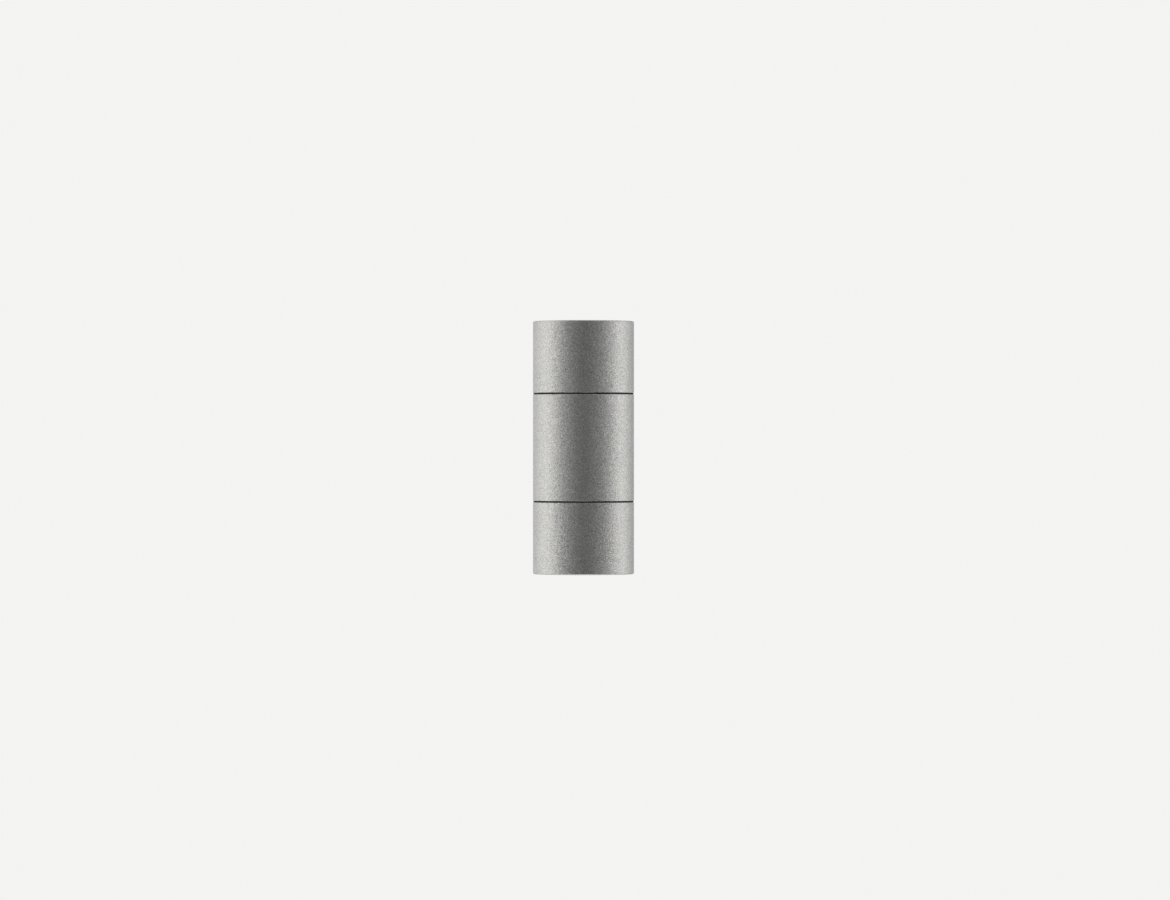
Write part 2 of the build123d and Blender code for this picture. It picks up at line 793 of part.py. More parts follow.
def make_box_seals():
    """The gasket between the box and the wall, and the thin one between the box and the tube."""
    with BuildPart() as box_seal:
        with BuildSketch(facing_room(axis_to_wall)):
            RectangleRounded(box_width, box_height, box_corner)
            RectangleRounded(
                plate_width + plate_clearance,
                plate_height + plate_clearance,
                plate_corner,
                mode=Mode.SUBTRACT,
            )
        extrude(amount=box_seal_thickness)
    write(box_seal.part, "box_seal")

    with BuildPart() as saddle_seal:
        with BuildSketch(facing_room(saddle_radius)):
            RectangleRounded(
                box_width - 2 * saddle_seal_margin,
                box_height - 2 * saddle_seal_margin,
                box_corner - saddle_seal_margin,
            )
            with Locations(*saddle_screw_places):
                Circle(saddle_screw_diameter / 2 + screw_clearance, mode=Mode.SUBTRACT)
            with Locations((0, grommet_height)):
                Circle(grommet_neck_diameter / 2 + grommet_clearance, mode=Mode.SUBTRACT)
        extrude(amount=saddle_radius)
        with BuildSketch(Plane.XY.offset(-box_height / 2)):
            Circle(saddle_radius)
            Circle(tube_radius, mode=Mode.SUBTRACT)
        extrude(amount=box_height, mode=Mode.INTERSECT)
    write(saddle_seal.part, "saddle_seal")


def make_wall_plate():
    """The pressed plate that is screwed to the wall, with two ears that take the lock screws."""
    ear_depth = plate_thickness + ear_length
    with BuildPart() as plate:
        with BuildSketch(facing_room(axis_to_wall)):
            RectangleRounded(plate_width, plate_height, plate_corner)
            Circle(cable_hole_diameter / 2, mode=Mode.SUBTRACT)
            with Locations((0, wall_slot_spacing / 2), (0, -wall_slot_spacing / 2)):
                SlotOverall(wall_slot_length, wall_slot_width, rotation=90, mode=Mode.SUBTRACT)
        extrude(amount=plate_thickness)
        for side in (1, -1):
            with BuildSketch(Plane.YZ.offset(side * plate_width / 2)):
                with Locations((axis_to_wall - ear_depth / 2, 0)):
                    Rectangle(ear_depth, ear_height)
            extrude(amount=-side * plate_thickness)
        ear_tips = plate.edges().filter_by(Axis.X).group_by(Axis.Y)[0]
        fillet(ear_tips, ear_round)
        with BuildSketch(Plane.YZ.offset(-plate_width / 2)):
            with Locations((lock_y, 0)):
                Circle(lock_screw_diameter / 2 + ear_slot_clearance)
            with Locations((lock_y - ear_length / 2, 0)):
                Rectangle(ear_length, lock_screw_diameter + 2 * ear_slot_clearance)
        extrude(amount=plate_width, mode=Mode.SUBTRACT)
    write(plate.part, "wall_plate")


def make_lock_screws():
    """The two screws through the box's sides, and the nuts behind the plate's ears."""
    with BuildPart() as screws:
        for side in (1, -1):
            add(
                slotted_screw(
                    Plane((side * box_width / 2, lock_y, 0), x_dir=(0, 1, 0), z_dir=(side, 0, 0)),
                    lock_screw_diameter,
                    lock_screw_length,
                    lock_screw_head_diameter,
                    lock_screw_head_height,
                )
            )
    write(screws.part, "lock_screws")

    nut_face_x = plate_width / 2 - plate_thickness - lock_nut_gap
    with BuildPart() as nuts:
        for side in (1, -1):
            with BuildSketch(Plane((side * nut_face_x, lock_y, 0), x_dir=(0, 1, 0), z_dir=(side, 0, 0))):
                RegularPolygon(lock_nut_across_flats / 2, 6, major_radius=False)
                Circle(lock_screw_diameter / 2 + tapped_clearance, mode=Mode.SUBTRACT)
            extrude(amount=-lock_nut_thickness)
    write(nuts.part, "lock_nuts")


def make_grommet():
    """The rubber bush that takes the leads through the tube, the seal and the box."""
    with BuildPart() as grommet:
        with BuildSketch(facing_room(saddle_back_radius + grommet_flange_thickness)):
            with Locations((0, grommet_height)):
                Circle(grommet_flange_radius)
        extrude(amount=grommet_flange_thickness + saddle_wall)
        with BuildSketch(Plane.XY):
            Circle(saddle_back_radius)
        extrude(amount=box_height, mode=Mode.SUBTRACT)
        with BuildSketch(facing_room(saddle_back_radius)):
            with Locations((0, grommet_height)):
                Circle(grommet_neck_diameter / 2)
        extrude(amount=saddle_back_radius - bore_radius + grommet_nose)
        with BuildSketch(facing_room(axis_to_wall)):
            with Locations((0, grommet_height)):
                Circle(grommet_neck_diameter / 2 - grommet_wall)
        extrude(amount=axis_to_wall, mode=Mode.SUBTRACT)
    write(grommet.part, "cable_grommet")


# ---- Terminal block, leads and earth -------------------------------------------------------------------


def fixing_places():
    """Where the terminal block is screwed down, between its poles, in X and Z."""
    return [((a + b) / 2, block_z) for a, b in zip(pole_xs, pole_xs[1:])]


def clamp_places():
    """The clamp screws, two to a pole, in X and Z."""
    return [(x, block_z + side * clamp_screw_offset) for x in pole_xs for side in (1, -1)]


def make_terminal_block():
    """A strip of insulated poles, each with a brass insert and two clamp screws."""
    head_recess_y = block_seat_y + block_web
    with BuildPart() as block:
        with BuildSketch(facing_room(head_recess_y)):
            with Locations((0, block_z)):
                RectangleRounded(block_width, block_length, pole_round)
        extrude(amount=block_web)
        with BuildSketch(Plane.XY.offset(block_top)):
            for x in pole_xs:
                with Locations((x, (block_seat_y + block_back_y) / 2)):
                    RectangleRounded(pole_width, block_height, pole_round)
        extrude(amount=-block_length)
        with BuildSketch(Plane.XY.offset(block_top)):
            with Locations(*[(x, insert_y) for x in pole_xs]):
                Circle(insert_diameter / 2 + insert_clearance)
        extrude(amount=-block_length, mode=Mode.SUBTRACT)
        with BuildSketch(facing_room(block_back_y)):
            with Locations(*clamp_places()):
                Circle(clamp_screw_diameter / 2 + insert_clearance)
        extrude(amount=block_back_y - insert_y, mode=Mode.SUBTRACT)
        with BuildSketch(facing_room(block_back_y)):
            with Locations(*fixing_places()):
                Circle(fixing_screw_head_diameter / 2 + fixing_scallop_clearance)
        extrude(amount=block_back_y - head_recess_y, mode=Mode.SUBTRACT)
        with BuildSketch(facing_room(head_recess_y)):
            with Locations(*fixing_places()):
                Circle(fixing_screw_diameter / 2 + tapped_clearance)
        extrude(amount=block_web, mode=Mode.SUBTRACT)
    write(block.part, "terminal_block")

    with BuildPart() as inserts:
        with BuildSketch(Plane.XY.offset(block_top - insert_inset)):
            for x in pole_xs:
                with Locations((x, insert_y)):
                    Circle(insert_diameter / 2)
                    Circle(insert_diameter / 2 - insert_wall, mode=Mode.SUBTRACT)
        extrude(amount=-(block_length - 2 * insert_inset))
        with BuildSketch(facing_room(block_back_y)):
            with Locations(*clamp_places()):
                Circle(clamp_screw_diameter / 2 + tapped_clearance)
        extrude(amount=block_back_y - insert_y, mode=Mode.SUBTRACT)
    write(inserts.part, "terminal_inserts")

    with BuildPart() as clamp_screws:
        with BuildSketch(facing_room(block_back_y - clamp_screw_sink)):
            with Locations(*clamp_places()):
                Circle(clamp_screw_diameter / 2)
        extrude(amount=clamp_screw_length)
        with BuildSketch(facing_room(block_back_y - clamp_screw_sink)):
            with Locations(*clamp_places()):
                Rectangle(clamp_screw_diameter + clamp_slot_width, clamp_slot_width)
        extrude(amount=screw_slot_depth, mode=Mode.SUBTRACT)
    write(clamp_screws.part, "terminal_clamp_screws")

    with BuildPart() as fixings:
        for x, z in fixing_places():
            add(
                slotted_screw(
                    Plane((x, head_recess_y, z), x_dir=(1, 0, 0), z_dir=(0, 1, 0)),
                    fixing_screw_diameter,
                    fixing_screw_length,
                    fixing_screw_head_diameter,
                    fixing_screw_head_height,
                )
            )
    write(fixings.part, "terminal_fixing_screws")


def make_leads():
    """Live and neutral from each holder, and earth, all through the grommet and down to the terminals."""
    port_z = holder_foot_z + lead_port_height
    port_start_y = holder_diameter / 2 - lead_port_depth + lead_to_port_end
    terminal_z = block_top - lead_in_terminal
    for name, side in (("live", -1), ("neutral", 1)):
        pole_x = side * pole_spacing
        grommet_x = side * lead_spread
        port_x = side * pin_spacing / 2

        upper_z = grommet_height + lead_spread
        upper_x = pole_x + side * lead_pair_spread
        upper = lead(
            (port_x, port_start_y, port_z),
            (port_x, 17.8, port_z + 0.2),
            (grommet_x, 18.4, upper_z),
            (grommet_x, insert_y, upper_z),
            (upper_x, insert_y, 6.0),
            (upper_x, insert_y, terminal_z),
        )
        write(upper, f"upper_{name}_lead")

        lower_z = grommet_height - lead_spread
        lower_x = pole_x - side * lead_pair_spread
        lower = lead(
            (port_x, port_start_y, -port_z),
            (side * 5.5, 17.8, -port_z - 0.2),
            (side * 8.2, window_back_y - 1.0, 3.5),
            (grommet_x, 21.0, lower_z),
            (grommet_x, 36.0, lower_z),
            (side * 4.2, insert_y, 7.6),
            (lower_x, insert_y, 2.6),
            (lower_x, insert_y, terminal_z),
        )
        write(lower, f"lower_{name}_lead")

    barrel_y = leg_front_y - earth_barrel_diameter / 2
    barrel_z = earth_barrel_start - earth_drop
    earth = lead(
        (0, barrel_y, barrel_z + 0.5),
        (0, barrel_y, barrel_z + earth_barrel_length + 1.5),
        (0, 18.4, 2.0),
        (0, 18.6, 9.4),
        (0, 22.2, grommet_height),
        (0, 36.0, grommet_height),
        (0, insert_y, 8.8),
        (0, insert_y, terminal_z),
    )
    write(earth, "earth_lead")


def make_earth():
    """A ring tag crimped on the earth lead, and the screw that holds it to the lower bracket."""
    tag_face_y = leg_front_y - earth_tag_thickness
    barrel_z = earth_barrel_start - earth_drop
    barrel_y = leg_front_y - earth_barrel_diameter / 2
    hole_radius = earth_screw_diameter / 2 + tapped_clearance
    tongue_length = earth_barrel_start + earth_tongue_overlap
    with BuildPart() as tag:
        with BuildSketch(facing_room(leg_front_y)):
            with Locations((0, -earth_drop + tongue_length / 2)):
                Rectangle(earth_barrel_diameter, tongue_length)
            with Locations((0, -earth_drop)):
                Circle(hole_radius + earth_tag_width)
                Circle(hole_radius, mode=Mode.SUBTRACT)
        extrude(amount=earth_tag_thickness)
        with BuildSketch(Plane.XY.offset(barrel_z)):
            with Locations((0, barrel_y)):
                Circle(earth_barrel_diameter / 2)
        extrude(amount=earth_barrel_length)
        with BuildSketch(Plane.XY.offset(barrel_z)):
            with Locations((0, barrel_y)):
                Circle(lead_diameter / 2 + tapped_clearance)
        extrude(amount=earth_barrel_length, mode=Mode.SUBTRACT)
    write(tag.part, "earth_tag")

    screw = slotted_screw(
        Plane((0, tag_face_y, -earth_drop), x_dir=(1, 0, 0), z_dir=(0, -1, 0)),
        earth_screw_diameter,
        earth_tag_thickness + bracket_thickness + bracket_seat_clearance,
        earth_screw_head_diameter,
        earth_screw_head_height,
    )
    write(screw, "earth_screw")


# ---- Build ---------------------------------------------------------------------------------------------

os.makedirs("parts", exist_ok=True)
make_centre_tube()
make_joint_seals()
make_heads()
make_head_fittings()
make_lamps()
make_lampholders()
make_brackets()
make_saddle_screws()
make_wall_box()
make_box_seals()
make_wall_plate()
make_lock_screws()
make_grommet()
make_terminal_block()
make_leads()
make_earth()
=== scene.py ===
"""Looks of the up-and-down tube wall light: camera, soft studio light, materials and the fine pieces.

Everything is in metres in the model's own frame: the wall is the plane y = 0, the room lies towards -Y and
+Z is up. The tube's axis stands at AXIS_Y. What belongs to one end is made for the upper end and turned half
a turn about the frame's Y axis for the lower one.
"""

import math

import bmesh
import bpy
from mathutils import Matrix, Vector


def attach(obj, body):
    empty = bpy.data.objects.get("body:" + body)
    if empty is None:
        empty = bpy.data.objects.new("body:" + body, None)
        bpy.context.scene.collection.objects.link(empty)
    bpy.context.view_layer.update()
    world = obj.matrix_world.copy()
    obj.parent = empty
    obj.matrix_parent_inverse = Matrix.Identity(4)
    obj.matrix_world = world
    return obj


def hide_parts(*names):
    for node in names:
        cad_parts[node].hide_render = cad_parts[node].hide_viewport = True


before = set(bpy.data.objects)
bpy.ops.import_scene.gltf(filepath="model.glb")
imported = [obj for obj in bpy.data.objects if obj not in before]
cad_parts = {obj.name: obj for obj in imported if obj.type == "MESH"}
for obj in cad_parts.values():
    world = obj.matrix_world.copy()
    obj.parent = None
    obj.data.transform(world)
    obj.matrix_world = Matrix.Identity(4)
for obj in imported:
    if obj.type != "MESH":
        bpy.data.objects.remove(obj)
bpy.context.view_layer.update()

# ---- Sizes, metres ---------------------------------------------------------------------------------------

AXIS_Y = -0.052
CAMERA_DISTANCE = 2.9
FRAME_WIDTH = 0.695  # what the picture spans at the tube's axis
SENSOR_WIDTH = 36.0  # millimetres
CAMERA_X = 0.0009
CAMERA_Z = -0.0014
CAMERA_CLIP = (0.05, 50.0)
FLOOR_Z = -1.2
FLOOR_RADIUS = 1.8
FLOOR_SIDES = 96

# The lamp, as in the model
LAMP_RADIUS = 0.025
LAMP_FRONT_Z = 0.062
LAMP_RIM_HEIGHT = 0.0035
LAMP_BACK_RADIUS = 0.0242
RIM_BORE_RADIUS = 0.0241
COVER_SEAT_Z = 0.060
MOUTH_RADIUS = 0.023
VERTEX_Z = 0.0385
BURNER_HOLE_RADIUS = 0.0052
NECK_RADIUS = 0.0085
NECK_FLOOR_Z = 0.022
BURNER_RADIUS = 0.0043
BURNER_TIP_Z = 0.053
QUARTZ_WALL = 0.0008
PINCH_TOP_Z = 0.0385
BULB_START_Z = 0.0415
PINCH_SECTIONS = (  # height, half width, half depth, squareness
    (NECK_FLOOR_Z, 0.003, 0.0014, 5.0),
    (0.0379, 0.003, 0.0014, 5.0),
    (PINCH_TOP_Z, 0.0029, 0.0018, 4.0),
    (0.0395, 0.0034, 0.003, 2.6),
    (0.0405, 0.004, 0.0039, 2.1),
)
HOLLOW_FOOT = ((0.0409, 0.6), (0.0413, 0.85), (0.0421, 1.0))  # height, share of the bore's radius
HOLLOW_TIP = 0.0001
FACET_COLUMNS = 36
FACET_ROWS = 18
BACK_STEPS = 14
BULB_COLUMNS = 48
DOME_STEPS = 9

# The filament: a coiled wire bent into a hoop
HOOP_HALF_WIDTH = 0.0016
HOOP_FOOT_Z = 0.0425
HOOP_TOP_Z = 0.0485
COIL_RADIUS = 0.00045
COIL_PITCH = 0.00034
COIL_STEPS = 14
WIRE_RADIUS = 0.00007

# How finely wires are drawn: steps round a quarter of the section, and between a spline's points
WIRE_ROUNDNESS = 1
LEAD_RADIUS = 0.0008
LEAD_ROUNDNESS = 6
LEAD_STEPS = 16

SHARP_ANGLE = math.radians(38)  # edges that turn more than this stay sharp

ENDS = {"upper": Matrix.Identity(4), "lower": Matrix.Rotation(math.pi, 4, "Y")}
TO_AXIS = Matrix.Translation((0, AXIS_Y, 0))


# ---- Node helpers ----------------------------------------------------------------------------------------


def node(tree, kind, **sockets):
    """Adds a node and sets its inputs, each by value or by the socket that feeds it."""
    made = tree.nodes.new(kind)
    for name, value in sockets.items():
        feed(tree, value, made.inputs[name.replace("_", " ")])
    return made


def feed(tree, value, socket):
    """Links a socket to an input, or sets the input's own value."""
    if isinstance(value, bpy.types.NodeSocket):
        tree.links.new(value, socket)
    else:
        socket.default_value = value


def grey(value):
    return (value, value, value, 1.0)


def opaque(colour):
    """The colour with its fourth value, where it is one that lacks it."""
    return (*colour, 1.0) if isinstance(colour, tuple) and len(colour) == 3 else colour


def math_node(tree, operation, first, second=0.5):
    made = tree.nodes.new("ShaderNodeMath")
    made.operation = operation
    feed(tree, first, made.inputs[0])
    feed(tree, second, made.inputs[1])
    return made.outputs["Value"]


def between(tree, fac, low, high, start=0.0, end=1.0):
    """Maps fac from start-end to low-high."""
    made = node(tree, "ShaderNodeMapRange", Value=fac)
    for name, value in (("From Min", start), ("From Max", end), ("To Min", low), ("To Max", high)):
        made.inputs[name].default_value = value
    return made.outputs["Result"]


def mixed(tree, fac, first, second):
    """A mix of two colours."""
    made = tree.nodes.new("ShaderNodeMix")
    made.data_type = "RGBA"
    feed(tree, fac, made.inputs["Factor"])
    colours = [s for s in made.inputs if s.type == "RGBA"]
    feed(tree, opaque(first), colours[0])
    feed(tree, opaque(second), colours[1])
    return next(s for s in made.outputs if s.type == "RGBA")


def place(tree, stretch=(1, 1, 1), source="Object"):
    """Coordinates on the piece in metres, stretched by a factor along each axis."""
    coordinates = tree.nodes.new("ShaderNodeTexCoord")
    mapping = node(tree, "ShaderNodeMapping", Vector=coordinates.outputs[source])
    mapping.inputs["Scale"].default_value = stretch
    return mapping.outputs["Vector"]


def noise(tree, vector, scale, detail=2.0, roughness=0.5):
    made = node(tree, "ShaderNodeTexNoise", Vector=vector, Scale=scale, Detail=detail, Roughness=roughness)
    return made.outputs["Fac"]


def cells(tree, vector, scale, output="Distance"):
    return node(tree, "ShaderNodeTexVoronoi", Vector=vector, Scale=scale).outputs[output]


def separated(tree, colour, channel):
    return node(tree, "ShaderNodeSeparateColor", Color=colour).outputs[channel]


def vector_math(tree, operation, first, second=None):
    made = tree.nodes.new("ShaderNodeVectorMath")
    made.operation = operation
    feed(tree, first, made.inputs[0])
    if second is not None:
        feed(tree, second, made.inputs["Scale"] if operation == "SCALE" else made.inputs[1])
    return made.outputs["Value" if operation == "LENGTH" else "Vector"]


def bump(tree, height, distance):
    """A bump of that height in metres."""
    return node(tree, "ShaderNodeBump", Height=height, Distance=distance).outputs["Normal"]


def grained(tree, spot, *grains):
    """The surface's normal, leaning at random from grain to grain; each is (grains per metre, lean)."""
    normal = tree.nodes.new("ShaderNodeNewGeometry").outputs["Normal"]
    for count, lean in grains:
        grain = node(tree, "ShaderNodeTexVoronoi", Vector=spot, Scale=count)
        centred = vector_math(tree, "SUBTRACT", grain.outputs["Color"], (0.5, 0.5, 0.5))
        normal = vector_math(tree, "ADD", normal, vector_math(tree, "SCALE", centred, lean))
    return vector_math(tree, "NORMALIZE", normal)


def from_axis(tree, vector):
    """Distance from the tube's axis."""
    moved = vector_math(tree, "SUBTRACT", vector, (0, AXIS_Y, 0))
    return vector_math(tree, "LENGTH", vector_math(tree, "MULTIPLY", moved, (1, 1, 0)))


def material(name, base, metallic=0.0, roughness=0.5, **sockets):
    """A material with one Principled shader, and its tree and shader."""
    made = bpy.data.materials.new(name)
    made.use_nodes = True
    tree = made.node_tree
    shader = tree.nodes["Principled BSDF"]
    feed(tree, opaque(base), shader.inputs["Base Color"])
    shader.inputs["Metallic"].default_value = metallic
    shader.inputs["Roughness"].default_value = roughness
    for socket, value in sockets.items():
        feed(tree, value, shader.inputs[socket.replace("_", " ")])
    return made, tree, shader


def finish(tree, shader, colour, roughness, normal):
    """Feeds a surface's colour, roughness and normal."""
    feed(tree, colour, shader.inputs["Base Color"])
    feed(tree, roughness, shader.inputs["Roughness"])
    feed(tree, normal, shader.inputs["Normal"])


def let_lamps_through(made, tree, shader):
    """Lets rays from lamps pass through a glass, so that it doesn't shade what is behind it."""
    output = tree.nodes["Material Output"]
    path = tree.nodes.new("ShaderNodeLightPath")
    clear = tree.nodes.new("ShaderNodeBsdfTransparent")
    mix = tree.nodes.new("ShaderNodeMixShader")
    tree.links.new(path.outputs["Is Shadow Ray"], mix.inputs[0])
    tree.links.new(shader.outputs["BSDF"], mix.inputs[1])
    tree.links.new(clear.outputs["BSDF"], mix.inputs[2])
    tree.links.new(mix.outputs["Shader"], output.inputs["Surface"])
    return made


# ---- Materials: scales are per metre, bumps in metres ----------------------------------------------------

GLOSS_SPREAD = 0.08  # of a moulded skin's roughness, either way
# Strength of the painted warm glow that the lamp's mirror gives off by itself
MIRROR_PAINTED_GLOW = 0.35
WIRE_GLOW = 24.0
LAMP_COLOUR = (1.0, 0.66, 0.34, 1.0)


def satin_aluminium():
    """Blasted and clear-anodised aluminium: a fine even grain that sparkles where the light turns."""
    made, tree, shader = material("satin_aluminium_finish", (0.66, 0.655, 0.636), 1.0, 0.3)
    spot = place(tree)
    cloud = noise(tree, spot, 45.0, 3.0)
    speck = separated(tree, cells(tree, spot, 3700.0, output="Color"), "Red")
    dark = mixed(tree, cloud, (0.37, 0.368, 0.357), (0.41, 0.407, 0.395))
    light = mixed(tree, cloud, (0.9, 0.894, 0.868), (0.94, 0.934, 0.907))
    roughness = between(tree, noise(tree, spot, 400.0), 0.26, 0.34)
    normal = grained(tree, spot, (4600.0, 0.34), (2100.0, 0.13))
    finish(tree, shader, mixed(tree, speck, dark, light), roughness, normal)
    return made


def turned_aluminium():
    """Bare turned aluminium, with the fine rings that the tool leaves."""
    made, tree, shader = material("turned_aluminium", (0.72, 0.72, 0.71), 1.0, 0.3)
    spot = place(tree)
    rings = noise(tree, from_axis(tree, spot), 9000.0, 2.0)
    colour = mixed(tree, noise(tree, spot, 300.0), (0.68, 0.68, 0.67), (0.76, 0.76, 0.745))
    finish(tree, shader, colour, between(tree, rings, 0.2, 0.38), bump(tree, rings, 0.00002))
    return made


def cast_box():
    """Die-cast aluminium under a thin silver-grey powder coat, with a slight orange peel."""
    made, tree, shader = material("cast_box_coat", (0.5, 0.5, 0.49), 0.35, 0.48)
    spot = place(tree)
    peel = noise(tree, spot, 750.0, 2.0, 0.55)
    speck = separated(tree, cells(tree, spot, 3200.0, output="Color"), "Red")
    cloud = noise(tree, spot, 60.0, 3.0)
    dark = mixed(tree, cloud, (0.39, 0.389, 0.38), (0.43, 0.428, 0.418))
    light = mixed(tree, cloud, (0.58, 0.577, 0.563), (0.62, 0.617, 0.602))
    roughness = between(tree, peel, 0.36, 0.6, 0.3, 0.7)
    finish(tree, shader, mixed(tree, speck, dark, light), roughness, bump(tree, peel, 0.00022))
    return made


def zinc_steel():
    """Zinc on pressed steel: small spangles and fine drawn marks."""
    made, tree, shader = material("zinc_steel_sheet", (0.68, 0.68, 0.67), 0.95, 0.4)
    spot = place(tree)
    bend = node(tree, "ShaderNodeTexNoise", Vector=spot, Scale=600.0)
    warped = vector_math(tree, "ADD", spot, vector_math(tree, "SCALE", bend.outputs["Color"], 0.0008))
    spangle = cells(tree, warped, 520.0, output="Color")
    colour = mixed(tree, separated(tree, spangle, "Red"), (0.6, 0.605, 0.6), (0.72, 0.72, 0.71))
    roughness = between(tree, separated(tree, spangle, "Green"), 0.3, 0.48)
    drawn = noise(tree, place(tree, (1, 1, 12)), 250.0, 4.0)
    finish(tree, shader, colour, roughness, bump(tree, drawn, 0.00006))
    return made


def plain_metal(name, dark, light, low, high, scale, distance):
    """A worked metal: slight clouds of colour, uneven gloss and fine marks."""
    made, tree, shader = material(name, dark, 1.0, low)
    spot = place(tree)
    marks = noise(tree, spot, scale, 3.0, 0.6)
    colour = mixed(tree, noise(tree, spot, 420.0, 3.0), dark, light)
    finish(tree, shader, colour, between(tree, marks, low, high), bump(tree, marks, distance))
    return made


def moulded(name, dark, light, roughness, scale, distance, **sockets):
    """A moulded rubber or plastic with a fine grain in its skin."""
    made, tree, shader = material(name, dark, 0.0, roughness, **sockets)
    spot = place(tree)
    grain = noise(tree, spot, scale, 2.0, 0.6)
    colour = mixed(tree, noise(tree, spot, 200.0, 3.0), dark, light)
    gloss = between(tree, grain, roughness - GLOSS_SPREAD, roughness + GLOSS_SPREAD)
    finish(tree, shader, colour, gloss, bump(tree, grain, distance))
    return made


def insulation(name, dark, light):
    """The skin of a lead of one colour."""
    return moulded(name, dark, light, 0.42, 2200.0, 0.00002)


def striped_insulation():
    """The skin of the earth lead: green, with two yellow stripes along it."""
    made, tree, shader = material("earth_insulation_skin", (0.1, 0.34, 0.06), 0.0, 0.42)
    around = node(tree, "ShaderNodeSeparateXYZ", Vector=place(tree, source="UV")).outputs["Y"]
    wave = math_node(tree, "SINE", math_node(tree, "MULTIPLY", around, 4 * math.pi))
    stripe = between(tree, wave, 0.0, 1.0, 0.0, 0.12)
    colour = mixed(tree, stripe, (0.09, 0.32, 0.05), (0.83, 0.71, 0.06))
    grain = noise(tree, place(tree), 2200.0, 2.0, 0.6)
    finish(tree, shader, colour, between(tree, grain, 0.34, 0.5), bump(tree, grain, 0.00002))
    return made


def glass(name, tint, ior, roughness):
    """Clear glass with a faint film of dust in its gloss."""
    made, tree, shader = material(name, tint, 0.0, roughness, IOR=ior, Transmission_Weight=1.0)
    film = noise(tree, place(tree), 160.0, 3.0)
    feed(tree, between(tree, film, roughness, roughness + 0.03, 0.45, 0.75), shader.inputs["Roughness"])
    feed(tree, bump(tree, noise(tree, place(tree), 30.0), 0.00002), shader.inputs["Normal"])
    return let_lamps_through(made, tree, shader)


def ceramic():
    """Steatite ceramic: off-white and matt, with fine dark specks."""
    made, tree, shader = material("steatite", (0.9, 0.88, 0.83), 0.0, 0.5)
    spot = place(tree)
    speck = between(tree, cells(tree, spot, 700.0), 1.0, 0.0, 0.04, 0.12)
    body = mixed(tree, noise(tree, spot, 120.0, 3.0), (0.88, 0.86, 0.8), (0.93, 0.91, 0.86))
    pores = noise(tree, spot, 1600.0, 3.0)
    roughness = between(tree, pores, 0.42, 0.6)
    finish(tree, shader, mixed(tree, speck, body, (0.45, 0.4, 0.33)), roughness, bump(tree, pores, 0.00005))
    return made


def mirror():
    """Bright vapour-coated aluminium in the lamp's reflector, with a painted warm glow of its own on top of
    the light that the lit burner casts on it.
    """
    made, tree, shader = material("faceted_mirror", (0.92, 0.9, 0.86), 1.0, 0.08)
    spot = place(tree)
    haze = noise(tree, spot, 500.0, 2.0)
    colour = mixed(tree, haze, (0.9, 0.88, 0.84), (0.94, 0.92, 0.88))
    ripple = bump(tree, noise(tree, spot, 900.0), 0.00001)
    finish(tree, shader, colour, between(tree, haze, 0.06, 0.14), ripple)
    # Painted glow: the mirror emits a faint warm light of its own, standing in for the lit burner's light in
    # it
    shader.inputs["Emission Color"].default_value = LAMP_COLOUR
    shader.inputs["Emission Strength"].default_value = MIRROR_PAINTED_GLOW
    return made


def lit_wire():
    """Tungsten at white heat."""
    made, tree, shader = material("lit_tungsten", (0.3, 0.28, 0.26), 1.0, 0.5)
    heat = noise(tree, place(tree), 500.0)
    feed(tree, mixed(tree, heat, (1.0, 0.6, 0.24), (1.0, 0.72, 0.4)), shader.inputs["Emission Color"])
    shader.inputs["Emission Strength"].default_value = WIRE_GLOW
    return made


# Dark and light colour, lowest and highest roughness, scale and bump of the marks
STAINLESS = ((0.62, 0.62, 0.61), (0.7, 0.7, 0.69), 0.22, 0.42, 1500.0, 0.00002)
NICKEL = ((0.7, 0.69, 0.66), (0.78, 0.77, 0.74), 0.1, 0.28, 1400.0, 0.00001)
BRASS = ((0.74, 0.58, 0.28), (0.82, 0.67, 0.37), 0.22, 0.4, 1500.0, 0.00002)

# Dark and light colour, roughness, scale and bump of the grain
BLACK_RUBBER = ((0.009, 0.009, 0.009), (0.016, 0.016, 0.016), 0.82, 1600.0, 0.0001)
CLEAR_SILICONE = ((0.72, 0.72, 0.69), (0.8, 0.8, 0.77), 0.5, 1400.0, 0.00003)
WHITE_PLASTIC = ((0.78, 0.78, 0.755), (0.88, 0.88, 0.86), 0.45, 1300.0, 0.00008)

MATERIALS = {
    "satin_aluminium": satin_aluminium(),
    "bare_aluminium": turned_aluminium(),
    "cast_box": cast_box(),
    "zinc_steel": zinc_steel(),
    "stainless": plain_metal("stainless_steel", *STAINLESS),
    "nickel": plain_metal("nickel_plate", *NICKEL),
    "brass": plain_metal("brass_metal", *BRASS),
    "black_rubber": moulded("black_rubber_skin", *BLACK_RUBBER, Specular_IOR_Level=0.15),
    "clear_silicone": moulded("clear_silicone_skin", *CLEAR_SILICONE, Subsurface_Weight=0.3),
    "white_plastic": moulded("white_plastic_skin", *WHITE_PLASTIC),
    "brown_insulation": insulation("brown_insulation_skin", (0.22, 0.1, 0.045), (0.29, 0.14, 0.07)),
    "blue_insulation": insulation("blue_insulation_skin", (0.06, 0.18, 0.48), (0.09, 0.23, 0.57)),
    "earth_insulation": striped_insulation(),
    "clear_glass": glass("front_glass", (0.94, 0.965, 0.955), 1.5, 0.01),
    "quartz": glass("quartz_glass", (0.99, 0.985, 0.975), 1.46, 0.01),
    "white_ceramic": ceramic(),
    "faceted_reflector": mirror(),
}

for cad_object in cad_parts.values():
    for slot in cad_object.material_slots:
        slot.material = MATERIALS[slot.material.name]


# ---- Fine pieces -----------------------------------------------------------------------------------------


